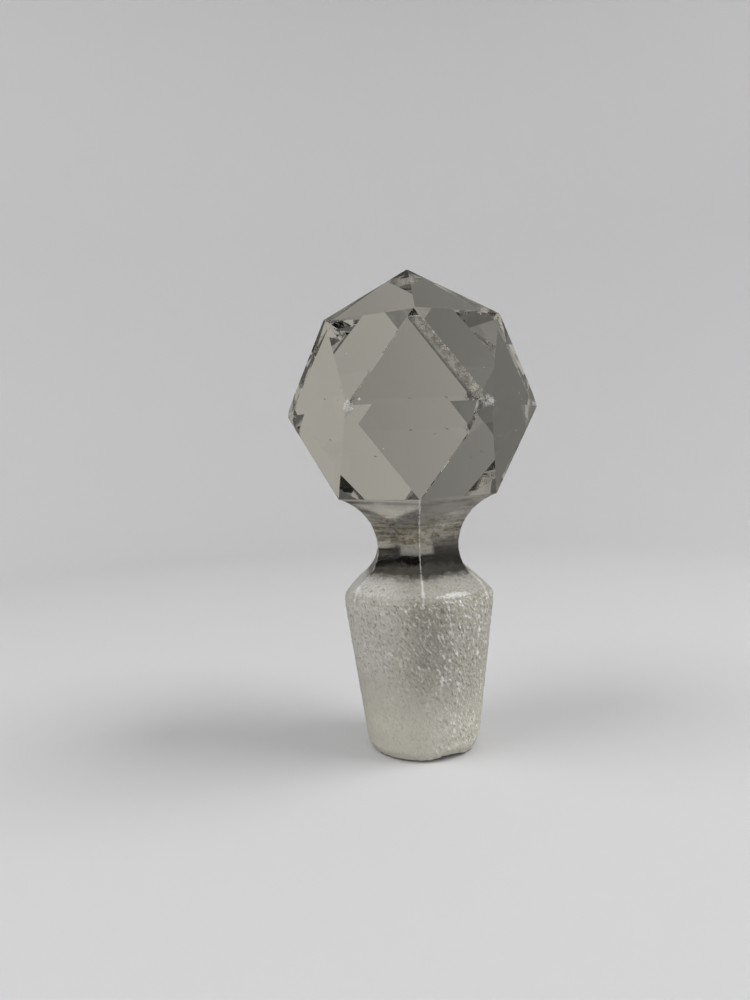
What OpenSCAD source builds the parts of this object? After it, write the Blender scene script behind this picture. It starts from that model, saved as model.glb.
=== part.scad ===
// Cut crystal decanter stopper: a faceted ball on a six-sided fluted neck,
// a flared shoulder and a ground taper plug, all of one axis.
// The axis is Z, the plug's flat end lies on z = 0, and a crest of the neck faces -Y.

/* [Ball] */
// Radius of the six equator corners
equator_r = 19; // [18.5:0.1:19.5]
// Radius of the six upper corners
upper_ring_r = 14.3; // [14:0.1:14.6]
// Height of the upper corners above the equator
upper_ring_rise = 12.7; // [12.4:0.1:13]
// Height of the point above the equator
apex_rise = 20.9; // [20.5:0.1:21.5]
// Radius of the six lower corners, where the neck's flutes end
lower_ring_r = 13.1; // [12.8:0.1:13.4]
// Depth of the lower corners below the equator
lower_ring_drop = 12.7; // [12.4:0.1:13]
// How far a facet may sit inside its true plane, as a hand-held cut leaves it
hand_cut = 0.14; // [0:0.02:0.2]

/* [Neck] */
// Height of the clear neck, from the shoulder to the ball
neck_h = 10.9; // [10.5:0.1:11.5]
// Height of the waist above the bottom of the neck
waist_rise = 3.1; // [2.8:0.1:3.4]
// Distance from the axis to a flute at the waist
waist_r = 6; // [5.8:0.05:6.2]

/* [Shoulder] */
// Height of the flared shoulder
shoulder_h = 4.4; // [4.2:0.1:4.6]
// Radius of the cutting wheel's lower edge
wheel_r = 5.6; // [5.4:0.1:5.8]
// Angle between the axis and the straight lower end of a flute
flare_angle = 48.5; // [48:0.5:50]
// Height of the uncut band around the foot of the shoulder
band_h = 0.4; // [0.3:0.05:0.6]
// Radius of the uncut cone between the flutes at the top of the shoulder
cone_r = 9.2; // [9:0.1:9.5]

/* [Plug] */
// Height of the ground plug
plug_h = 23.3; // [22:0.1:25]
// Radius of the plug at its rim
rim_r = 11.3; // [11.2:0.05:11.4]
// Height of the plug's straight rim above the taper
rim_h = 1; // [0.5:0.1:1.5]
// Radius of the plug at the narrow end of its ground taper
tip_r = 8.6; // [8.4:0.1:8.8]
// Height of the worn edge around the flat end
tip_edge = 1.4; // [1.2:0.1:1.6]
// Width of that worn edge
tip_wear = 1.05; // [0.8:0.05:1.2]

/* [Hidden] */
$fn = 96;
SIDES = 6;
STEP = 360 / SIDES;
HALF = STEP / 2;
BIG = 60;

// Heights of the faces where the zones of the one glass body meet
neck_z = plug_h + shoulder_h;
ball_z = neck_z + neck_h;
equator_z = ball_z + lower_ring_drop;
waist_z = neck_z + waist_rise;

// Points of the ball in a plane through its axis, as [radius, height above the equator].
// EDGE points are the middle of a side of a ring, CORNER points are its corners.
APEX = [0, apex_rise];
UPPER_EDGE = [upper_ring_r * cos(HALF), upper_ring_rise];
UPPER_CORNER = [upper_ring_r, upper_ring_rise];
EQUATOR_EDGE = [equator_r * cos(HALF), 0];
EQUATOR_CORNER = [equator_r, 0];
LOWER_EDGE = [lower_ring_r * cos(HALF), -lower_ring_drop];
LOWER_CORNER = [lower_ring_r, -lower_ring_drop];

// The flute's upper end is one arc, from the waist to the edge of the ball's lower ring
arc_rise = ball_z - waist_z;
arc_reach = LOWER_EDGE[0] - waist_r;
upper_wheel_r = (arc_rise * arc_rise + arc_reach * arc_reach) / (2 * arc_reach);

// Where the flute's lower arc runs out into its straight flare
flare_z = waist_z - wheel_r * sin(flare_angle);
flare_r = waist_r + wheel_r * (1 - cos(flare_angle));
flare_end_r = flare_r + (flare_z - plug_h) * tan(flare_angle);

// Tilt above the horizon of a facet that passes through a low and a high point
function tilt(low, high) = atan2(low[0] - high[0], high[1] - low[1]);

// Distance of that facet from the ball's centre
function reach(low, high) =
    low[0] * cos(tilt(low, high)) + low[1] * sin(tilt(low, high));

// Small inward shift of one facet, different for each, the same on each build
function hand_shift(row, k) = hand_cut * (0.5 + 0.5 * sin(151 * row + 97 * k));

// Everything on the ball's side of a facet
module inside_facet(azimuth, low, high, shift) {
    distance = reach(low, high) - shift;
    rotate([-tilt(low, high), 0, azimuth])
        translate([-BIG, -distance, -BIG])
            cube([2 * BIG, distance + BIG, 2 * BIG]);
}

// One ring of six facets, the first at the given azimuth; hand is the share of the
// hand shift that the ring takes, so that the lower edge stays true to the flutes
module facet_ring(row, first, low, high, hand = 1) {
    intersection_for (k = [0:SIDES - 1])
        inside_facet(first + k * STEP, low, high, hand * hand_shift(row, k));
}

module cut_ball() {
    color([0.80, 0.81, 0.80, 0.45])
        translate([0, 0, equator_z])
            intersection() {
                translate([-BIG, -BIG, -lower_ring_drop]) cube(2 * BIG);
                facet_ring(0, HALF, UPPER_EDGE, APEX);
                facet_ring(1, HALF, EQUATOR_CORNER, UPPER_EDGE);
                facet_ring(2, 0, EQUATOR_EDGE, UPPER_CORNER);
                facet_ring(3, 0, LOWER_CORNER, EQUATOR_EDGE, hand = 0.5);
                facet_ring(4, HALF, LOWER_EDGE, EQUATOR_CORNER, hand = 0);
            }
}

// Six flats or flutes around the axis: what three crossed copies of an outline share
module six_sided() {
    intersection_for (k = [0:SIDES / 2 - 1])
        rotate([90, 0, HALF + k * STEP + 90])
            linear_extrude(BIG, center = true) children();
}

// Outline of a length of neck, hollowed on both sides by a wheel at the waist
module wheel_cut(wheel, low, high) {
    difference() {
        width = 2 * (waist_r + wheel);
        translate([-width / 2, low]) square([width, high - low]);
        for (side = [-1, 1])
            translate([side * (waist_r + wheel), waist_z]) circle(r = wheel);
    }
}

module fluted_neck() {
    color([0.84, 0.85, 0.83, 0.45]) {
        six_sided() wheel_cut(upper_wheel_r, waist_z, ball_z);
        six_sided() wheel_cut(wheel_r, neck_z, waist_z);
        // A core through the waist ties the two lengths into one solid
        translate([0, 0, waist_z]) cylinder(r = waist_r / 2, h = waist_rise, center = true);
    }
}

module flared_shoulder() {
    color([0.78, 0.78, 0.74, 0.6])
        intersection() {
            union() {
                six_sided() wheel_cut(wheel_r, flare_z, neck_z);
                six_sided()
                    polygon([
                        [-flare_end_r, plug_h],
                        [flare_end_r, plug_h],
                        [flare_r, flare_z],
                        [-flare_r, flare_z]
                    ]);
                // A core ties the two lengths into one solid
                translate([0, 0, plug_h]) cylinder(r = waist_r / 2, h = shoulder_h);
            }
            rotate_extrude()
                polygon([
                    [0, plug_h],
                    [rim_r, plug_h],
                    [rim_r, plug_h + band_h],
                    [cone_r, neck_z],
                    [0, neck_z]
                ]);
        }
}

module ground_plug() {
    taper_z = plug_h - rim_h;
    color([0.72, 0.71, 0.66])
        rotate_extrude()
            polygon([
                [0, 0],
                [tip_r - tip_wear, 0],
                [tip_r - tip_wear / 3, tip_edge / 4],
                [tip_r, tip_edge],
                [rim_r, taper_z],
                [rim_r, plug_h],
                [0, plug_h]
            ]);
}

cut_ball();
fluted_neck();
flared_shoulder();
ground_plug();
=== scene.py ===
"""Looks of a cut crystal decanter stopper: a faceted ball, a fluted neck, a satin shoulder and a
ground taper plug. The four pieces are zones of one glass body, so where two of them meet, the
faces between them let light pass straight through."""

import math
import random

import bmesh
import bpy
from mathutils import Matrix, Vector, noise


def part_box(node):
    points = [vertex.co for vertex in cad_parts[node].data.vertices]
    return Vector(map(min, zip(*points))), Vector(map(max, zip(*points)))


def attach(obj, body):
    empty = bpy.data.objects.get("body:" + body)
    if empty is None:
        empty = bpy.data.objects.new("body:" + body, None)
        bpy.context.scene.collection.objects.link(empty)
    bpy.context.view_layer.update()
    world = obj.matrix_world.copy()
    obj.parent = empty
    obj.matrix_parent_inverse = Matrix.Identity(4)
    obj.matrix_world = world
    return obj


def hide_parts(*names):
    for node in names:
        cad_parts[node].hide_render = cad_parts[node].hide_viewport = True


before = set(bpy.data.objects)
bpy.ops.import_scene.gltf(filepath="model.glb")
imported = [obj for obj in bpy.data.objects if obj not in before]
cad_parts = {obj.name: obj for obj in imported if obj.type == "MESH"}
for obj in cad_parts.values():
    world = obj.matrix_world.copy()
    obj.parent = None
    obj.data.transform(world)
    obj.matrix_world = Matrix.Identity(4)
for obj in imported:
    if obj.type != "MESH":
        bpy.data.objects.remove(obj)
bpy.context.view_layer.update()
scene = bpy.context.scene

MM = 0.001
SIDES = 6
SEED = 7
NICKS = 22
EDGE_CHIPS = 7
GLASS_IOR = 1.55

# The grinding wheel's strokes lean 20 degrees, measured where the plug's radius is 10 mm
GRAIN_R = 10 * MM
GRAIN_LEAN = math.tan(math.radians(20)) / GRAIN_R
GRAIN_WIDTH = 0.30 * MM

# Heights and radii of the zones. Those that the CAD frame's boxes give are read from them, and
# the others repeat the driving sizes of part.scad.
PLUG_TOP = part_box("ground_plug")[1].z
NECK_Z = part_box("fluted_neck")[0].z
BALL_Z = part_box("cut_ball")[0].z
APEX_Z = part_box("cut_ball")[1].z
LOWER_DROP = 12.7 * MM
EQUATOR_Z = BALL_Z + LOWER_DROP
EQUATOR_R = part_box("cut_ball")[1].x
UPPER_RISE = 12.7 * MM
UPPER_RING_R = 14.3 * MM
LOWER_RING_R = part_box("fluted_neck")[1].y

# The plug's rim, taper and worn end
RIM_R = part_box("ground_plug")[1].x
RIM_H = 1.0 * MM
TIP_R = 8.6 * MM
TIP_EDGE = 1.4 * MM
TIP_WEAR = 1.05 * MM

# The flutes: two wheel radii that meet at the waist, and a straight flare below them
WAIST_Z = NECK_Z + 3.1 * MM
WAIST_R = 6.0 * MM
LOWER_WHEEL = 5.6 * MM
FLARE = math.radians(48.5)
FLARE_Z = WAIST_Z - LOWER_WHEEL * math.sin(FLARE)
FLARE_R = WAIST_R + LOWER_WHEEL * (1 - math.cos(FLARE))
ARC_RISE = BALL_Z - WAIST_Z
ARC_REACH = LOWER_RING_R * math.cos(math.pi / SIDES) - WAIST_R
UPPER_WHEEL = (ARC_RISE**2 + ARC_REACH**2) / (2 * ARC_REACH)
BAND_H = 0.4 * MM
CONE_R = 9.2 * MM
# A blank far wider than the neck, where the flutes take all of its round surface
NO_BLANK = 1.0


# ---------------------------------------------------------------- places

def place(azimuth, radius, z):
    """A point by its azimuth, which is 0 towards the camera and grows towards +X."""
    return Vector((radius * math.sin(azimuth), -radius * math.cos(azimuth), z))


def ball_corner(azimuth, radius, rise):
    """A corner of the ball by its azimuth in degrees, radius and height above the equator."""
    return place(math.radians(azimuth), radius, EQUATOR_Z + rise)


# ---------------------------------------------------------------- camera and render settings

def make_camera():
    """The phone's view: a 27 mm lens (of a 36 mm frame) six ball radii from the ball, seen a
    little from above, rolled, and moved aside and down as the photograph is framed."""
    distance, right_shift, up_shift = 113.1 * MM, -6.12 * MM, -13.4 * MM
    elevation, roll = math.radians(4.12), math.radians(2.3)
    back = Vector((0, -math.cos(elevation), math.sin(elevation)))
    right = Vector((1, 0, 0))
    up = Vector((0, math.sin(elevation), math.cos(elevation)))
    data = bpy.data.cameras.new("camera")
    data.lens, data.sensor_width = 27, 36
    data.clip_start, data.clip_end = 0.001, 10
    camera = bpy.data.objects.new("camera", data)
    scene.collection.objects.link(camera)
    x_axis = right * math.cos(roll) - up * math.sin(roll)
    y_axis = right * math.sin(roll) + up * math.cos(roll)
    matrix = Matrix((x_axis, y_axis, back)).transposed().to_4x4()
    centre = Vector((0, 0, EQUATOR_Z))
    matrix.translation = centre + back * distance + right * right_shift + up * up_shift
    camera.matrix_world = matrix
    scene.camera = camera


def set_light_paths():
    """Enough bounces for light to cross the ball several times, without caustics. Colours are
    shown as they are, with no film look."""
    cycles = scene.cycles
    cycles.max_bounces = 24
    cycles.transmission_bounces = 24
    cycles.glossy_bounces = 16
    cycles.transparent_max_bounces = 24
    cycles.caustics_reflective = False
    cycles.caustics_refractive = False
    scene.view_settings.view_transform = "Standard"


# ---------------------------------------------------------------- node helpers

class Nodes:
    """Short calls for a node tree. But for feed and add, each returns an output socket."""

    def __init__(self, tree):
        self.tree = tree

    def feed(self, node, inputs):
        """Links each input of a node to a socket, or sets it to a plain value."""
        for name, value in inputs.items():
            if isinstance(value, bpy.types.NodeSocket):
                self.tree.links.new(value, node.inputs[name])
            else:
                node.inputs[name].default_value = value

    def add(self, kind, inputs=None, **settings):
        """Adds a node and returns the node itself, which the helpers below build on."""
        node = self.tree.nodes.new(kind)
        for name, value in settings.items():
            setattr(node, name, value)
        self.feed(node, inputs or {})
        return node

    def math(self, operation, a, b=0.0, c=0.0, clamp=False):
        ins = {0: a, 1: b, 2: c}
        return self.add("ShaderNodeMath", ins, operation=operation, use_clamp=clamp).outputs[0]

    def vector(self, operation, a, b=(0, 0, 0)):
        node = self.add("ShaderNodeVectorMath", {0: a, 1: b}, operation=operation)
        return node.outputs["Value" if operation in ("LENGTH", "DOT_PRODUCT") else "Vector"]

    def between(self, value, low, high, to_low=0.0, to_high=1.0, smooth=True):
        """value from low..high mapped to to_low..to_high, clamped."""
        ins = {"Value": value, "From Min": low, "From Max": high,
               "To Min": to_low, "To Max": to_high}
        kind = "SMOOTHSTEP" if smooth else "LINEAR"
        return self.add("ShaderNodeMapRange", ins, interpolation_type=kind).outputs["Result"]

    def noise(self, vector, scale, detail=3.0, roughness=0.55, distortion=0.0):
        ins = {"Vector": vector, "Scale": scale, "Detail": detail, "Roughness": roughness,
               "Distortion": distortion}
        return self.add("ShaderNodeTexNoise", ins).outputs["Fac"]

    def scaled(self, vector, scale, rotation=(0, 0, 0)):
        ins = {"Vector": vector, "Scale": scale, "Rotation": rotation}
        return self.add("ShaderNodeMapping", ins).outputs["Vector"]

    def mix(self, factor, a, b):
        node = self.add("ShaderNodeMix", {"Factor": factor, "A": a, "B": b}, data_type="RGBA")
        return node.outputs["Result"]

    def number_mix(self, factor, a, b):
        ins = {"Factor": factor, "A": a, "B": b}
        return self.add("ShaderNodeMix", ins, data_type="FLOAT").outputs[0]

    def product(self, first, *others):
        """All the values multiplied together."""
        for other in others:
            first = self.math("MULTIPLY", first, other)
        return first

    def bump(self, height, strength, distance):
        ins = {"Height": height, "Strength": strength, "Distance": distance}
        return self.add("ShaderNodeBump", ins).outputs["Normal"]


def new_material(name):
    """A material with an empty tree, its helper and its output node."""
    material = bpy.data.materials.new(name)
    material.use_nodes = True
    material.node_tree.nodes.clear()
    nodes = Nodes(material.node_tree)
    output = nodes.add("ShaderNodeOutputMaterial")
    return material, nodes, output


def new_glass(name):
    """A glass material: its Principled shader is returned for the maps that make its finish."""
    material, nodes, output = new_material(name)
    ins = {"IOR": GLASS_IOR, "Transmission Weight": 1.0}
    shader = nodes.add("ShaderNodeBsdfPrincipled", ins)
    nodes.tree.links.new(shader.outputs[0], output.inputs["Surface"])
    return material, nodes, shader


# ---------------------------------------------------------------- materials

def joint_material():
    """The faces where two zones of the glass body meet: light passes straight through."""
    material, nodes, output = new_material("zone_joint")
    clear = nodes.add("ShaderNodeBsdfTransparent")
    nodes.tree.links.new(clear.outputs[0], output.inputs["Surface"])
    return material


def specks(nodes, here, scale, share, size):
    """Small round spots, 1 inside: a share of the cells of a pattern, each with its own spot."""
    torn = nodes.add("ShaderNodeTexNoise", {"Vector": here, "Scale": 2.5 * scale}).outputs["Color"]
    wobble = nodes.vector("SCALE", torn)
    wobble.node.inputs["Scale"].default_value = 0.7 / scale
    here = nodes.vector("ADD", here, wobble)
    node = nodes.add("ShaderNodeTexVoronoi", {"Vector": here, "Scale": scale, "Randomness": 1.0})
    parts = nodes.add("ShaderNodeSeparateColor", {0: node.outputs["Color"]})
    chosen = nodes.math("LESS_THAN", parts.outputs[0], share)
    reach = nodes.math("MULTIPLY_ADD", parts.outputs[1], size, 0.4 * size)
    spot = nodes.between(nodes.math("DIVIDE", node.outputs["Distance"], reach), 0.7, 1.0, 1.0, 0.0)
    return nodes.math("MULTIPLY", spot, chosen)


def slanted(nodes, here, stretch):
    """Coordinates turned about the axis with height, so that stretched marks lean."""
    z = nodes.add("ShaderNodeSeparateXYZ", {0: here}).outputs["Z"]
    turn = nodes.math("MULTIPLY", z, GRAIN_LEAN)
    ins = {"Vector": here, "Angle": turn}
    turned = nodes.add("ShaderNodeVectorRotate", ins, rotation_type="Z_AXIS").outputs[0]
    return nodes.scaled(turned, (1, 1, stretch))


def crest_angle(nodes, parts):
    """Angle about the axis to the nearest of the six crests, from 0 to half a side."""
    y = nodes.math("MULTIPLY", parts.outputs["Y"], -1.0)
    azimuth = nodes.math("ARCTAN2", parts.outputs["X"], y)
    return nodes.math("PINGPONG", azimuth, math.pi / SIDES)


def worn_strip(nodes, here, cloud):
    """1 on the rough, cracked strip beside one arris, on the facet that faces the front."""
    start = ball_corner(0, UPPER_RING_R, UPPER_RISE)
    end = ball_corner(30, EQUATOR_R, 0)
    length = (end - start).length
    along = (end - start).normalized()
    inward = ball_corner(-30, EQUATOR_R, 0) - start
    inward = (inward - along * inward.dot(along)).normalized()
    offset = nodes.vector("SUBTRACT", here, start)
    way = nodes.vector("DOT_PRODUCT", offset, along)
    depth = nodes.math("ABSOLUTE", nodes.vector("DOT_PRODUCT", offset, along.cross(inward)))
    aside = nodes.vector("DOT_PRODUCT", offset, inward)
    aside = nodes.math("MULTIPLY_ADD", nodes.math("SUBTRACT", cloud, 0.5), 0.6 * MM, aside)
    return nodes.product(
        nodes.between(aside, 0, 0.1 * MM),
        nodes.between(aside, 1.2 * MM, 1.6 * MM, 1.0, 0.0),
        nodes.between(depth, 0.3 * MM, 0.5 * MM, 1.0, 0.0),
        nodes.between(way, 0.8 * MM, 1.6 * MM),
        nodes.between(way, length - 2.2 * MM, length - 1.4 * MM, 1.0, 0.0),
    )


def polished_material():
    """Clear lead crystal with hairline scratches, pin-prick chips, bruised corners at the
    equator, and one rough strip beside an arris."""
    material, nodes, shader = new_glass("polished_crystal")
    here = nodes.add("ShaderNodeTexCoord").outputs["Object"]
    parts = nodes.add("ShaderNodeSeparateXYZ", {0: here})
    # Distance to the nearest of the six equator corners, folded into one sixth of the ball
    folded = nodes.math("SUBTRACT", crest_angle(nodes, parts), math.pi / SIDES)
    side = nodes.math("MULTIPLY", folded, EQUATOR_R)
    rise = nodes.math("SUBTRACT", parts.outputs["Z"], EQUATOR_Z)
    flat = nodes.add("ShaderNodeCombineXYZ", {"X": side, "Y": rise}).outputs[0]
    away = nodes.vector("LENGTH", flat)
    cloud = nodes.noise(here, 1400, 4.0, 0.7)
    torn = nodes.math("MULTIPLY_ADD", nodes.math("SUBTRACT", cloud, 0.5), 3.2 * MM, away)
    bruise = nodes.between(torn, 0.25 * MM, 0.9 * MM, 1.0, 0.0)
    pricks = specks(nodes, here, 700, 0.05, 0.10)
    pricks = nodes.math("MULTIPLY", pricks, 0.6)
    white = nodes.math("MAXIMUM", nodes.math("MULTIPLY", bruise, 0.55), pricks)
    strip = worn_strip(nodes, here, cloud)
    frost = nodes.product(strip, nodes.between(cloud, 0.35, 0.65, 0.08, 0.42))
    white = nodes.math("MAXIMUM", white, frost)
    cracks = nodes.math("MULTIPLY", specks(nodes, here, 900, 0.14, 0.35), strip)
    colour = nodes.mix(white, (0.97, 0.965, 0.95, 1), (0.90, 0.90, 0.87, 1))
    colour = nodes.mix(nodes.math("MULTIPLY", strip, 0.8), colour, (0.84, 0.80, 0.70, 1))
    colour = nodes.mix(cracks, colour, (0.12, 0.11, 0.09, 1))
    clear = nodes.math("SUBTRACT", 1.0, nodes.math("MULTIPLY", white, 0.7))
    long_way = nodes.scaled(here, (1, 1, 1), (0.5, 0.3, 0.9))
    hair = nodes.noise(nodes.scaled(long_way, (9000, 500, 9000)), 1.0, 2.0, 0.5)
    hair = nodes.between(hair, 0.64, 0.70)
    patch = nodes.between(nodes.noise(here, 160, 2.0), 0.5, 0.62)
    hair = nodes.math("MULTIPLY", hair, patch)
    rough = nodes.math("MULTIPLY_ADD", white, 0.35, nodes.math("MULTIPLY", hair, 0.05))
    ripple = nodes.noise(here, 130, 1.0, 0.3)
    height = nodes.product(ripple, 0.1)
    height = nodes.math("ADD", nodes.product(hair, -0.02), height)
    height = nodes.math("ADD", height, nodes.product(bruise, cloud, 2.0))
    nodes.feed(shader, {"Base Color": colour, "Roughness": rough, "Transmission Weight": clear,
                        "Normal": nodes.bump(height, 0.5, 0.02 * MM)})
    return material


def mark(nodes, here, spot, size, ragged):
    """One worn or dirty patch, 1 inside: an oval about a spot, with a torn edge."""
    offset = nodes.vector("DIVIDE", nodes.vector("SUBTRACT", here, spot), size)
    cloud = nodes.math("SUBTRACT", nodes.noise(here, 2600, 4.0, 0.75), 0.5)
    reach = nodes.math("MULTIPLY_ADD", cloud, ragged, nodes.vector("LENGTH", offset))
    return nodes.between(reach, 0.75, 1.05, 1.0, 0.0)


def crest_wear(nodes, here, width):
    """1 on the six crests between the flutes, where handling has dulled the glass."""
    parts = nodes.add("ShaderNodeSeparateXYZ", {0: here})
    along = nodes.math("MULTIPLY", crest_angle(nodes, parts), WAIST_R)
    cloud = nodes.math("SUBTRACT", nodes.noise(here, 1800, 4.0, 0.7), 0.5)
    along = nodes.math("MULTIPLY_ADD", cloud, 6.0 * width, along)
    return nodes.between(along, 0.4 * width, width, 1.0, 0.0)


def fluted_material():
    """The neck's wheel-cut flutes: fine rings across them, dirt that stays in the rings, a fine
    speckle, dull crests, and one rust-red speck."""
    material, nodes, shader = new_glass("fluted_crystal")
    here = nodes.add("ShaderNodeTexCoord").outputs["Object"]
    z = nodes.add("ShaderNodeSeparateXYZ", {0: here}).outputs["Z"]
    rings = nodes.noise(nodes.scaled(here, (190, 190, 2600)), 1.0, 5.0, 0.8)
    off = nodes.math("ABSOLUTE", nodes.math("SUBTRACT", z, WAIST_Z + 2.6 * MM))
    zone = nodes.between(off, 1.4 * MM, 3.4 * MM, 1.0, 0.25)
    cloud = nodes.noise(here, 1500, 5.0, 0.85)
    speckle = nodes.noise(here, 3300, 3.0, 0.8)
    streaks = nodes.math("MULTIPLY_ADD", rings, 0.5, nodes.math("MULTIPLY", cloud, 0.5))
    dirt = nodes.math("MULTIPLY", nodes.between(streaks, 0.50, 0.53), zone)
    black = nodes.math("MULTIPLY", nodes.between(speckle, 0.55, 0.62), dirt)
    rust_spot = place(math.radians(-12), 6.9 * MM, NECK_Z + 1.5 * MM)
    rust = mark(nodes, here, rust_spot, (1.3 * MM, 9 * MM, 0.6 * MM), 7.0)
    crest = crest_wear(nodes, here, 0.07 * MM)
    colour = nodes.mix(dirt, (0.96, 0.955, 0.935, 1), (0.30, 0.24, 0.13, 1))
    colour = nodes.mix(black, colour, (0.06, 0.05, 0.04, 1))
    colour = nodes.mix(rust, colour, (0.14, 0.05, 0.04, 1))
    colour = nodes.mix(nodes.math("MULTIPLY", crest, 0.5), colour, (0.97, 0.97, 0.95, 1))
    rough = nodes.between(rings, 0.35, 0.75, 0.03, 0.14)
    rough = nodes.math("MULTIPLY_ADD", crest, 0.2, rough)
    worn = nodes.math("MAXIMUM", crest, black)
    clear = nodes.math("SUBTRACT", 1.0, nodes.product(worn, 0.45))
    clear = nodes.math("SUBTRACT", clear, nodes.product(nodes.between(speckle, 0.58, 0.66), 0.12))
    height = nodes.math("MULTIPLY_ADD", rings, zone, nodes.math("MULTIPLY", speckle, 0.8))
    nodes.feed(shader, {"Base Color": colour, "Roughness": rough, "Transmission Weight": clear,
                        "Normal": nodes.bump(height, 1.0, 0.022 * MM)})
    return material


def ground_finish(nodes, here):
    """The pitted finish of the taper, as colour, roughness, clearness and height: short leaning
    strokes and bright flecks, painted shade in the strokes' hollows and in pits, smoother at the
    lower left, painted light on the left side, a painted grey shade down the middle, a few specks
    of dirt and a cloudier foot."""
    parts = nodes.add("ShaderNodeSeparateXYZ", {0: here})
    z = parts.outputs["Z"]
    lean = slanted(nodes, here, 0.6)
    strokes = nodes.noise(lean, 3300, 3.0, 0.65, 0.3)
    fine = nodes.noise(lean, 8000, 2.0, 0.6)
    blotch = nodes.noise(here, 150, 3.0, 0.6)
    right = nodes.math("DIVIDE", parts.outputs["X"], RIM_R)
    level = nodes.between(z, 7 * MM, 20 * MM, -0.1, 0.85)
    coarse = nodes.math("MULTIPLY_ADD", right, 0.4, level)
    coarse = nodes.math("ADD", coarse, nodes.product(blotch, 0.5))
    coarse = nodes.between(coarse, 0.0, 0.7, 0.4, 1.0)
    flecks = nodes.math("MULTIPLY", nodes.between(strokes, 0.55, 0.66), coarse)
    # shade: painted shade in the hollows of the strokes, where their height is low
    shade = nodes.math("MULTIPLY", nodes.between(strokes, 0.34, 0.46, 1.0, 0.0), coarse)
    bright = specks(nodes, lean, 2400, 0.15, 0.55)
    side = nodes.between(nodes.math("MULTIPLY_ADD", blotch, 1.2, right), 0.3, 1.1, 0.1, 1.0)
    bright = nodes.product(bright, coarse, side)
    dirt = specks(nodes, nodes.scaled(here, (1, 1, 1), (1.1, 0.4, 0.2)), 620, 0.04, 0.2)
    colour = nodes.mix(blotch, (0.76, 0.73, 0.62, 1), (0.86, 0.83, 0.72, 1))
    wander = nodes.math("MULTIPLY_ADD", nodes.math("SUBTRACT", blotch, 0.5), 0.8, right)
    # Painted light: the left side is made paler, as if lit through the glass from the right
    pale = nodes.between(wander, -0.8, -0.15, 1.0, 0.0)
    pale = nodes.product(pale, nodes.between(z, 8 * MM, 15 * MM))
    colour = nodes.mix(nodes.product(pale, 0.8), colour, (0.93, 0.91, 0.82, 1))
    # Painted shade: a grey band down the middle of the plug
    painted_middle_shade = nodes.math("ABSOLUTE", nodes.math("SUBTRACT", wander, 0.05))
    painted_middle_shade = nodes.between(painted_middle_shade, 0.05, 0.4, 1.0, 0.0)
    painted_middle_shade = nodes.product(painted_middle_shade, nodes.between(z, 6 * MM, 19 * MM))
    colour = nodes.mix(nodes.product(painted_middle_shade, 0.8), colour, (0.52, 0.495, 0.415, 1))
    colour = nodes.mix(nodes.product(shade, 0.75), colour, (0.34, 0.325, 0.27, 1))
    # Painted shade of pits near the top, as dark spots
    pits = nodes.between(z, PLUG_TOP - 8 * MM, PLUG_TOP - 2 * MM)
    pits = nodes.product(specks(nodes, lean, 2100, 0.18, 0.5), pits)
    colour = nodes.mix(nodes.product(pits, 0.7), colour, (0.30, 0.285, 0.235, 1))
    colour = nodes.mix(nodes.product(flecks, 0.9), colour, (0.97, 0.96, 0.91, 1))
    colour = nodes.mix(nodes.product(bright, 0.9), colour, (1.0, 1.0, 0.98, 1))
    colour = nodes.mix(nodes.product(dirt, 0.8), colour, (0.20, 0.12, 0.06, 1))
    rough = nodes.between(coarse, 0.0, 1.0, 0.38, 0.6, smooth=False)
    opaque = nodes.math("MAXIMUM", nodes.math("MAXIMUM", flecks, bright), dirt)
    foot = nodes.between(z, 4 * MM, 13 * MM, 0.16, 0.0)
    clear = nodes.math("SUBTRACT", 0.42, foot)
    clear = nodes.math("SUBTRACT", clear, nodes.product(opaque, 0.35))
    height = nodes.math("MULTIPLY_ADD", strokes, coarse, nodes.math("MULTIPLY", fine, 0.25))
    return colour, rough, clear, height


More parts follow.
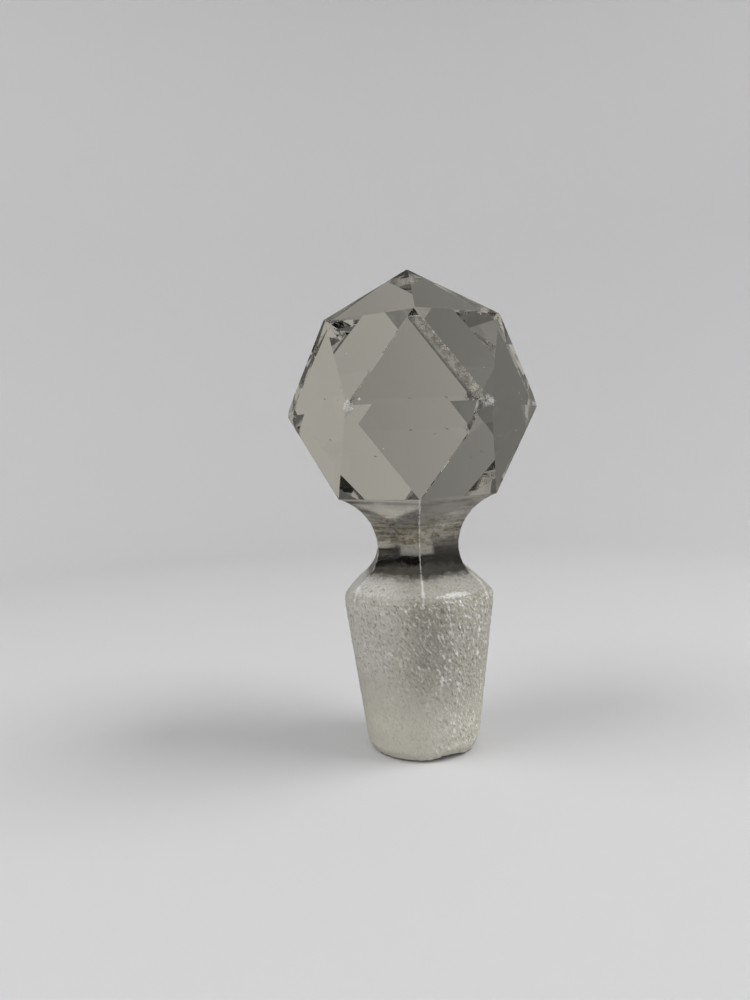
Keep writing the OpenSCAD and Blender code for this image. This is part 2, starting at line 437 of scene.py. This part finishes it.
def satin_material():
    """The shoulder's flutes: clear at the neck, satin below, ground and scratched at the rim."""
    material, nodes, shader = new_glass("satin_crystal")
    here = nodes.add("ShaderNodeTexCoord").outputs["Object"]
    parts = nodes.add("ShaderNodeSeparateXYZ", {0: here})
    x, z = parts.outputs["X"], parts.outputs["Z"]
    blotch = nodes.noise(here, 220, 3.0, 0.6)
    cloud = nodes.noise(here, 700, 6.0, 0.8)
    level = nodes.math("MULTIPLY_ADD", nodes.math("SUBTRACT", cloud, 0.5), 2.4 * MM, z)
    satin = nodes.between(level, NECK_Z - 1.6 * MM, NECK_Z - 0.1 * MM, 1.0, 0.0)
    coarse = nodes.between(level, PLUG_TOP + 0.7 * MM, PLUG_TOP + 1.3 * MM, 1.0, 0.0)
    ground_colour, ground_rough, ground_clear, ground_height = ground_finish(nodes, here)
    # Satin: cross-wise wipes of the polishing wheel, painted shade in small pits and on the right
    # side
    wipes = nodes.noise(nodes.scaled(here, (500, 500, 4200)), 1.0, 3.0, 0.6)
    fine = nodes.noise(here, 3600, 4.0, 0.8)
    pits = specks(nodes, here, 1700, 0.2, 0.4)
    crest = crest_wear(nodes, here, 0.12 * MM)
    scuff_spot = place(math.radians(26), 10.9 * MM, PLUG_TOP + 1.3 * MM)
    scuff = mark(nodes, here, scuff_spot, (2.5 * MM, 4 * MM, 0.32 * MM), 4.5)
    white = nodes.product(nodes.math("MAXIMUM", crest, scuff), 0.6)
    wiped = nodes.between(wipes, 0.35, 0.65)
    grey = nodes.mix(wiped, (0.82, 0.79, 0.71, 1), (0.93, 0.92, 0.86, 1))
    # Painted shade: greyer towards the right side, where the glass is also made less clear
    right_shade_and_dull_glass = nodes.between(nodes.math("MULTIPLY_ADD", blotch, 3 * MM, x), -5 * MM, 1.0 * MM)
    grey = nodes.mix(nodes.math("MULTIPLY", right_shade_and_dull_glass, 0.75), grey, (0.66, 0.635, 0.55, 1))
    grey = nodes.mix(nodes.between(fine, 0.54, 0.62, 0.0, 0.8), grey, (0.97, 0.97, 0.94, 1))
    grey = nodes.mix(nodes.between(fine, 0.48, 0.40, 0.0, 0.6), grey, (0.36, 0.34, 0.28, 1))
    # Painted shade in the small pits
    grey = nodes.mix(nodes.math("MULTIPLY", pits, 0.5), grey, (0.36, 0.33, 0.26, 1))
    colour = nodes.mix(satin, (0.90, 0.86, 0.80, 1), grey)
    colour = nodes.mix(coarse, colour, ground_colour)
    colour = nodes.mix(white, colour, (0.97, 0.97, 0.95, 1))
    rough = nodes.between(satin, 0.0, 1.0, 0.05, 0.34, smooth=False)
    rough = nodes.number_mix(coarse, nodes.math("MULTIPLY_ADD", fine, 0.1, rough), ground_rough)
    dull = nodes.number_mix(right_shade_and_dull_glass, 0.25, 0.40)
    clear = nodes.number_mix(satin, 1.0, dull)
    clear = nodes.number_mix(coarse, clear, ground_clear)
    clear = nodes.math("SUBTRACT", clear, nodes.math("MULTIPLY", white, 0.45), clamp=True)
    relief = nodes.math("MULTIPLY_ADD", wipes, 0.12, nodes.product(fine, 0.3))
    height = nodes.number_mix(coarse, nodes.product(relief, satin), ground_height)
    nodes.feed(shader, {"Base Color": colour, "Roughness": rough, "Transmission Weight": clear,
                        "Normal": nodes.bump(height, 1.0, 0.2 * MM)})
    return material


def ground_material():
    """The plug's ground glass: the pitted finish all over."""
    material, nodes, shader = new_glass("ground_crystal")
    here = nodes.add("ShaderNodeTexCoord").outputs["Object"]
    colour, rough, clear, height = ground_finish(nodes, here)
    nodes.feed(shader, {"Base Color": colour, "Roughness": rough, "Transmission Weight": clear,
                        "Normal": nodes.bump(height, 1.0, 0.2 * MM)})
    return material


# ---------------------------------------------------------------- mesh helpers

def finish_piece(name, mesh, node):
    """Links the mesh as a piece that stands for a CAD node."""
    piece = bpy.data.objects.new(name, mesh)
    scene.collection.objects.link(piece)
    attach(piece, "root")
    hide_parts(node)
    return piece


def sextant(reach, blank, arcs, flats):
    """One sixth of a neck section, as (azimuth from the crest, radius): the uncut arc of the
    blank around the crest, then the flute up to the next crest. The last point is left out.
    reach is the distance from the axis to the flute, and blank is the radius of the blank."""
    half = math.pi / SIDES
    flute_half = math.acos(min(1.0, reach / blank))
    uncut = min(half, max(0.0, half - flute_half))
    points = []
    for i in range(arcs):
        points.append((uncut * (2 * i / arcs - 1), min(blank, reach / math.cos(half - uncut))))
    for i in range(flats):
        azimuth = uncut + (2 * half - 2 * uncut) * i / flats
        points.append((azimuth, reach / math.cos(azimuth - half) if reach < blank else blank))
    return points


def flute_reach(z):
    """Distance from the axis to the middle of a flute at height z."""
    if z >= WAIST_Z:
        return WAIST_R + UPPER_WHEEL - math.sqrt(UPPER_WHEEL**2 - (z - WAIST_Z) ** 2)
    if z >= FLARE_Z:
        return WAIST_R + LOWER_WHEEL - math.sqrt(LOWER_WHEEL**2 - (WAIST_Z - z) ** 2)
    return FLARE_R + (FLARE_Z - z) * math.tan(FLARE)


def blank_radius(z):
    """Radius of the round blank that the flutes are cut into."""
    foot = PLUG_TOP + BAND_H
    share = min(1.0, max(0.0, (z - foot) / (NECK_Z - foot)))
    return RIM_R + (CONE_R - RIM_R) * share


def loft(name, rings, low_cap, high_cap, materials):
    """A closed mesh through equal rings of points, low to high. A cap is the index of its
    material."""
    mesh = bpy.data.meshes.new(name)
    bm = bmesh.new()
    loops = [[bm.verts.new(p) for p in ring] for ring in rings]
    for low, high in zip(loops, loops[1:]):
        for i in range(len(low)):
            j = (i + 1) % len(low)
            bm.faces.new((low[i], low[j], high[j], high[i]))
    for loop, index, turn in ((loops[0], low_cap, -1), (loops[-1], high_cap, 1)):
        middle = bm.verts.new(sum((v.co for v in loop), Vector()) / len(loop))
        for i in range(len(loop)):
            j = (i + 1) % len(loop)
            corners = (middle, loop[i], loop[j])[::turn]
            face = bm.faces.new(corners)
            face.material_index = index
    bmesh.ops.remove_doubles(bm, verts=bm.verts, dist=0.5e-6)
    for face in bm.faces:
        face.smooth = True
    bm.to_mesh(mesh)
    bm.free()
    for material in materials:
        mesh.materials.append(material)
    return mesh


def mark_crests(mesh):
    """Edges sharper than 20 degrees stay crisp under smooth shading."""
    bm = bmesh.new()
    bm.from_mesh(mesh)
    for edge in bm.edges:
        if len(edge.link_faces) == 2 and edge.calc_face_angle(0) > math.radians(20):
            edge.smooth = False
    bm.to_mesh(mesh)
    bm.free()


# ---------------------------------------------------------------- surface relief

def smooth_step(value, low, high):
    """0 up to low, 1 from high on, and a smooth rise between them."""
    share = min(1.0, max(0.0, (value - low) / (high - low)))
    return share * share * (3 - 2 * share)


def grain(azimuth, z):
    """Pits of the grinding wheel, -1..1: short strokes that lean as they go round the plug."""
    turned = azimuth + z * GRAIN_LEAN
    around = GRAIN_R * math.cos(turned), GRAIN_R * math.sin(turned)
    point = Vector((*around, 0.42 * z)) / GRAIN_WIDTH
    point += Vector((SEED, 2 * SEED, 3 * SEED))
    return 0.7 * noise.noise(point) + 0.3 * noise.noise(2.3 * point)


def coarseness(azimuth, z):
    """Share of the coarse grain: most at the top and on the right, least at the lower left."""
    high = smooth_step(z, 6 * MM, 18 * MM)
    right = 0.5 + 0.5 * math.cos(azimuth - math.radians(75))
    patch = noise.noise(Vector((math.cos(azimuth), math.sin(azimuth), z / (9 * MM))) * 2.0)
    return min(1.0, max(0.1, 0.9 * high + 0.75 * right * right + 0.3 * patch - 0.15))


def bumps_around(azimuth, seed, count, low_width, high_width):
    """0..1: one smooth bump at each of a few seeded azimuths, with widths in degrees."""
    chooser = random.Random(seed)
    total = 0.0
    for _ in range(count):
        middle = chooser.uniform(0, math.tau)
        width = math.radians(chooser.uniform(low_width, high_width))
        size = chooser.uniform(0.3, 1.0)
        away = abs((azimuth - middle + math.pi) % math.tau - math.pi)
        total = max(total, size * (1 - smooth_step(away, 0.3 * width, width)))
    return total


# ---------------------------------------------------------------- the pieces

def chip_corner(bm, point, depth, lean):
    """Cuts a corner of the ball off square to its radius, turned a little by the lean."""
    outward = (point - Vector((0, 0, EQUATOR_Z))).normalized()
    normal = (outward + Vector(lean)).normalized()
    everything = bm.verts[:] + bm.edges[:] + bm.faces[:]
    spot = point - normal * depth
    cut = bmesh.ops.bisect_plane(bm, geom=everything, plane_co=spot, plane_no=normal,
                                 clear_outer=True)
    edges = [thing for thing in cut["geom_cut"] if isinstance(thing, bmesh.types.BMEdge)]
    bmesh.ops.contextual_create(bm, geom=edges)


def nick_tool(materials):
    """Small flattened lumps set along the arrises: what they take off the ball are its nicks."""
    chooser = random.Random(SEED + 1)
    corners = [(60 * k + 30, EQUATOR_R, 0) for k in range(SIDES)]
    corners += [(60 * k, UPPER_RING_R, UPPER_RISE) for k in range(SIDES)]
    lines = [(corners[k], corners[(k + 1) % SIDES]) for k in range(SIDES)]
    lines += [(corners[k], corners[SIDES + k]) for k in range(SIDES)]
    lines += [(corners[k], corners[SIDES + (k + 1) % SIDES]) for k in range(SIDES)]
    bm = bmesh.new()
    for _ in range(NICKS):
        start, end = (ball_corner(*corner) for corner in chooser.choice(lines))
        middle = start.lerp(end, chooser.choice((0.03, 0.08, 0.93, 0.5, 0.2, 0.75)))
        size = chooser.uniform(0.10, 0.26) * MM
        turn = Matrix.Rotation(chooser.uniform(0, math.tau), 4, Vector((1, 1, 1)).normalized())
        squash = Matrix.Diagonal((size, 0.55 * size, 1.5 * size, 1))
        matrix = Matrix.Translation(middle) @ turn @ squash
        bmesh.ops.create_icosphere(bm, subdivisions=2, radius=1, matrix=matrix)
    mesh = bpy.data.meshes.new("nicks")
    bm.to_mesh(mesh)
    bm.free()
    mesh.materials.append(materials[0])
    return bpy.data.objects.new("nicks", mesh)


def make_ball(materials):
    """The CAD ball with its corners chipped, its arrises a little worn, and nicks along them."""
    bm = bmesh.new()
    bm.from_mesh(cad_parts["cut_ball"].data)
    bmesh.ops.remove_doubles(bm, verts=bm.verts, dist=1e-6)
    bmesh.ops.dissolve_limit(bm, angle_limit=math.radians(1), verts=bm.verts, edges=bm.edges)
    for face in bm.faces:
        face.smooth = False
    # Chips of the equator's corners: azimuth in degrees, depth in mm, and lean
    chips = [(30, 0.34, (0.1, 0.1, 0.35)), (30, 0.30, (-0.25, 0.2, -0.3)),
             (-30, 0.13, (0.2, -0.1, -0.3)), (-90, 0.30, (0.1, -0.3, 0.2)),
             (90, 0.12, (0, -0.2, 0.3)), (150, 0.25, (0.2, 0, 0.2))]
    for azimuth, depth, lean in chips:
        chip_corner(bm, ball_corner(azimuth, EQUATOR_R, 0), depth * MM, lean)
    chip_corner(bm, ball_corner(0, 0, APEX_Z - EQUATOR_Z), 0.10 * MM, (0.15, -0.1, 0))
    chooser = random.Random(SEED)
    weight = bm.edges.layers.float.new("bevel_weight_edge")
    for edge in bm.edges:
        low = max(v.co.z for v in edge.verts) < BALL_Z + 0.01 * MM
        edge[weight] = 0.0 if low else chooser.uniform(0.35, 0.8)
    mesh = bpy.data.meshes.new("ball")
    bm.to_mesh(mesh)
    bm.free()
    for material in materials:
        mesh.materials.append(material)
    rough_cut = bpy.data.objects.new("rough_cut", mesh)
    tool = nick_tool(materials)
    for thing in (rough_cut, tool):
        scene.collection.objects.link(thing)
    wear = rough_cut.modifiers.new("wear", "BEVEL")
    wear.limit_method = "WEIGHT"
    wear.width = 0.06 * MM
    wear.segments = 2
    nicks = rough_cut.modifiers.new("nicks", "BOOLEAN")
    nicks.object = tool
    nicks.operation = "DIFFERENCE"
    nicks.solver = "MANIFOLD"
    bpy.context.view_layer.update()
    worn = rough_cut.evaluated_get(bpy.context.evaluated_depsgraph_get())
    mesh = bpy.data.meshes.new_from_object(worn)
    for thing in (rough_cut, tool):
        bpy.data.objects.remove(thing)
    # The flat end is the joint with the neck, and takes the second material
    for face in mesh.polygons:
        flat_end = abs(face.normal.z) > 0.999 and face.center.z < BALL_Z + 0.01 * MM
        face.material_index = int(flat_end)
    return finish_piece("faceted_ball", mesh, "cut_ball")


def striation(side, z):
    """Fine rings that the cutting wheel left across one flute, as an offset of its surface."""
    inner = smooth_step(z, NECK_Z, NECK_Z + 0.5 * MM)
    inner *= 1 - smooth_step(z, BALL_Z - 1 * MM, BALL_Z)
    strong = 0.35 + 0.65 * (1 - smooth_step(abs(z - WAIST_Z - 2 * MM), 2 * MM, 4.5 * MM))
    fine = noise.noise(Vector((side * 7.3, z / (0.16 * MM), SEED)))
    broad = noise.noise(Vector((side * 5.1, z / (0.6 * MM), 2 * SEED)))
    return inner * strong * (0.004 * fine + 0.016 * broad) * MM


def make_neck(materials):
    """The clear flutes from the shoulder to the ball, with the wheel's rings across them."""
    levels, flats = 200, 16
    rings = []
    for k in range(levels + 1):
        z = NECK_Z + (BALL_Z - NECK_Z) * k / levels
        ring = []
        for side in range(SIDES):
            for azimuth, radius in sextant(flute_reach(z), NO_BLANK, 0, flats):
                share = azimuth * SIDES / math.tau
                middle = 4 * share * (1 - share)
                radius += striation(side, z) * min(1.0, 3 * middle)
                ring.append(place(side * math.tau / SIDES + azimuth, radius, z))
        rings.append(ring)
    mesh = loft("neck", rings, 1, 1, materials)
    mark_crests(mesh)
    return finish_piece("fluted_waist", mesh, "fluted_neck")


def make_shoulder(materials):
    """The satin flutes run out at the rim, where the coarse grain of the plug climbs over them."""
    levels, arcs, flats = 90, 24, 40
    rings = []
    for k in range(levels + 1):
        z = PLUG_TOP + (NECK_Z - PLUG_TOP) * k / levels
        fade = smooth_step(z, PLUG_TOP, PLUG_TOP + 0.2 * MM)
        fade *= 1 - smooth_step(z, NECK_Z - 1 * MM, NECK_Z)
        ring = []
        for side in range(SIDES):
            for azimuth, radius in sextant(flute_reach(z), blank_radius(z), arcs, flats):
                spot = side * math.tau / SIDES + azimuth
                way = math.sin(spot), math.cos(spot)
                edge = z - PLUG_TOP + 0.5 * MM * noise.noise(Vector((*way, 2)) * 5)
                rough = 1 - smooth_step(edge, 0.5 * MM, 1.5 * MM)
                pits = min(0.25, grain(spot, z)) - 0.25
                wave = 0.012 * noise.noise(Vector((*way, z / (9 * MM))) * 9)
                radius += fade * (0.14 * rough * pits + wave) * MM
                ring.append(place(spot, radius, z))
        rings.append(ring)
    mesh = loft("shoulder", rings, 1, 1, materials)
    mark_crests(mesh)
    return finish_piece("satin_shoulder", mesh, "flared_shoulder")


def plug_profile():
    """The plug's outline from its flat end out and up, as (radius, height)."""
    return [(TIP_R - TIP_WEAR, 0), (TIP_R - TIP_WEAR / 3, TIP_EDGE / 4), (TIP_R, TIP_EDGE),
            (RIM_R, PLUG_TOP - RIM_H), (RIM_R, PLUG_TOP)]


def plug_rings(levels):
    """Rings of (radius, height) at equal steps along the plug's outline."""
    profile = plug_profile()
    lengths = [math.dist(a, b) for a, b in zip(profile, profile[1:])]
    rings = []
    for k in range(levels + 1):
        along = sum(lengths) * k / levels
        step = 0
        while step < len(lengths) - 1 and along > lengths[step]:
            along -= lengths[step]
            step += 1
        share = min(1.0, along / lengths[step])
        low, high = profile[step], profile[step + 1]
        rings.append([low[i] + (high[i] - low[i]) * share for i in (0, 1)])
    return rings


def make_plug(materials):
    """The ground taper: a pitted wall with a chipped edge around its flat end."""
    around, levels = 432, 180
    rings = []
    for radius, z in plug_rings(levels):
        ring = []
        for i in range(around):
            azimuth = math.tau * i / around
            fade = 1 - smooth_step(z, PLUG_TOP - 0.35 * MM, PLUG_TOP)
            rough = coarseness(azimuth, z)
            pits = max(-0.25, grain(azimuth, z)) - 0.25
            wave = 0.03 * noise.noise(Vector((azimuth * 3, z / MM, 1)))
            depth = fade * (rough * 0.16 * pits + wave) * MM
            chip = bumps_around(azimuth, SEED, EDGE_CHIPS, 10, 30)
            edge = 1 - smooth_step(z, 0.2 * MM, (1.3 + 1.2 * chip) * MM)
            lift = chip * smooth_step(radius, 6.3 * MM, 7.6 * MM) * edge
            ragged = 0.5 + 0.5 * noise.noise(Vector((azimuth * 9, z / MM, SEED)))
            inset = edge * (0.35 + 0.5 * chip) * ragged * MM
            rise = 0.6 * lift * (0.6 + ragged) * MM
            ring.append(place(azimuth, radius + depth - inset, z + rise))
        rings.append(ring)
    mesh = loft("plug", rings, 0, 1, materials)
    return finish_piece("ground_taper", mesh, "ground_plug")


# ---------------------------------------------------------------- stage

def make_bowl():
    """A plain pale floor that turns up into a round backdrop. Rays through the glass or off it
    don't see it: they see the world's gradient, which keeps the ball from washing out."""
    radius, bend, height, around, steps = 0.40, 0.18, 0.45, 96, 24
    profile = [(radius - bend, 0.0)]
    for i in range(1, steps + 1):
        angle = math.pi / 2 * i / steps
        profile.append((radius - bend + bend * math.sin(angle), bend - bend * math.cos(angle)))
    profile.append((radius, height))
    bm = bmesh.new()
    middle = bm.verts.new((0, 0, 0))
    turns = [math.tau * k / around for k in range(around)]
    loops = [[bm.verts.new(place(turn, r, z)) for turn in turns] for r, z in profile]
    for k in range(around):
        bm.faces.new((middle, loops[0][k], loops[0][(k + 1) % around]))
    for low, high in zip(loops, loops[1:]):
        for k in range(around):
            j = (k + 1) % around
            bm.faces.new((low[k], high[k], high[j], low[j]))
    for face in bm.faces:
        face.smooth = True
    mesh = bpy.data.meshes.new("bowl")
    bm.to_mesh(mesh)
    bm.free()
    material, nodes, output = new_material("pale_floor")
    ins = {"Base Color": (0.62, 0.62, 0.63, 1), "Roughness": 0.9, "Specular IOR Level": 0.1}
    shader = nodes.add("ShaderNodeBsdfPrincipled", ins)
    nodes.tree.links.new(shader.outputs[0], output.inputs["Surface"])
    mesh.materials.append(material)
    bowl = bpy.data.objects.new("floor", mesh)
    scene.collection.objects.link(bowl)
    bowl.visible_glossy = False
    bowl.visible_transmission = False


def make_world():
    """Plain soft studio light: one smooth gradient, pale towards +X and dim towards -X. Its
    direction suits the main view, where it makes the left facets lighter than the right."""
    world = bpy.data.worlds.new("studio")
    scene.world = world
    world.use_nodes = True
    world.node_tree.nodes.clear()
    nodes = Nodes(world.node_tree)
    output = nodes.add("ShaderNodeOutputWorld")
    here = nodes.add("ShaderNodeTexCoord").outputs["Generated"]
    lit = nodes.vector("DOT_PRODUCT", here, Vector((1.0, 0.2, 0.1)).normalized())
    share = nodes.between(lit, -0.35, 0.75)
    colour = nodes.mix(share, (0.085, 0.083, 0.076, 1), (0.41, 0.395, 0.355, 1))
    background = nodes.add("ShaderNodeBackground", {"Color": colour, "Strength": 1.0})
    nodes.tree.links.new(background.outputs[0], output.inputs["Surface"])


def make_softbox(name, spot, aim, size, power):
    """A round white softbox, which isn't seen itself in the glass or through it."""
    data = bpy.data.lights.new(name, "AREA")
    data.shape, data.size, data.energy = "DISK", size, power
    light = bpy.data.objects.new(name, data)
    scene.collection.objects.link(light)
    light.location = spot
    light.visible_glossy = False
    light.visible_transmission = False
    light.rotation_mode = "QUATERNION"
    light.rotation_quaternion = (Vector(spot) - Vector(aim)).to_track_quat("Z", "Y")


make_camera()
set_light_paths()
joint = joint_material()
make_ball([polished_material(), joint])
make_neck([fluted_material(), joint])
make_shoulder([satin_material(), joint])
make_plug([ground_material(), joint])
make_bowl()
make_world()
make_softbox("key", (0.3, -0.05, 0.42), (0, 0, 0.04), 0.30, 1.5)
make_softbox("fill", (-0.25, -0.1, 0.42), (0, 0, 0.04), 0.30, 0.88)
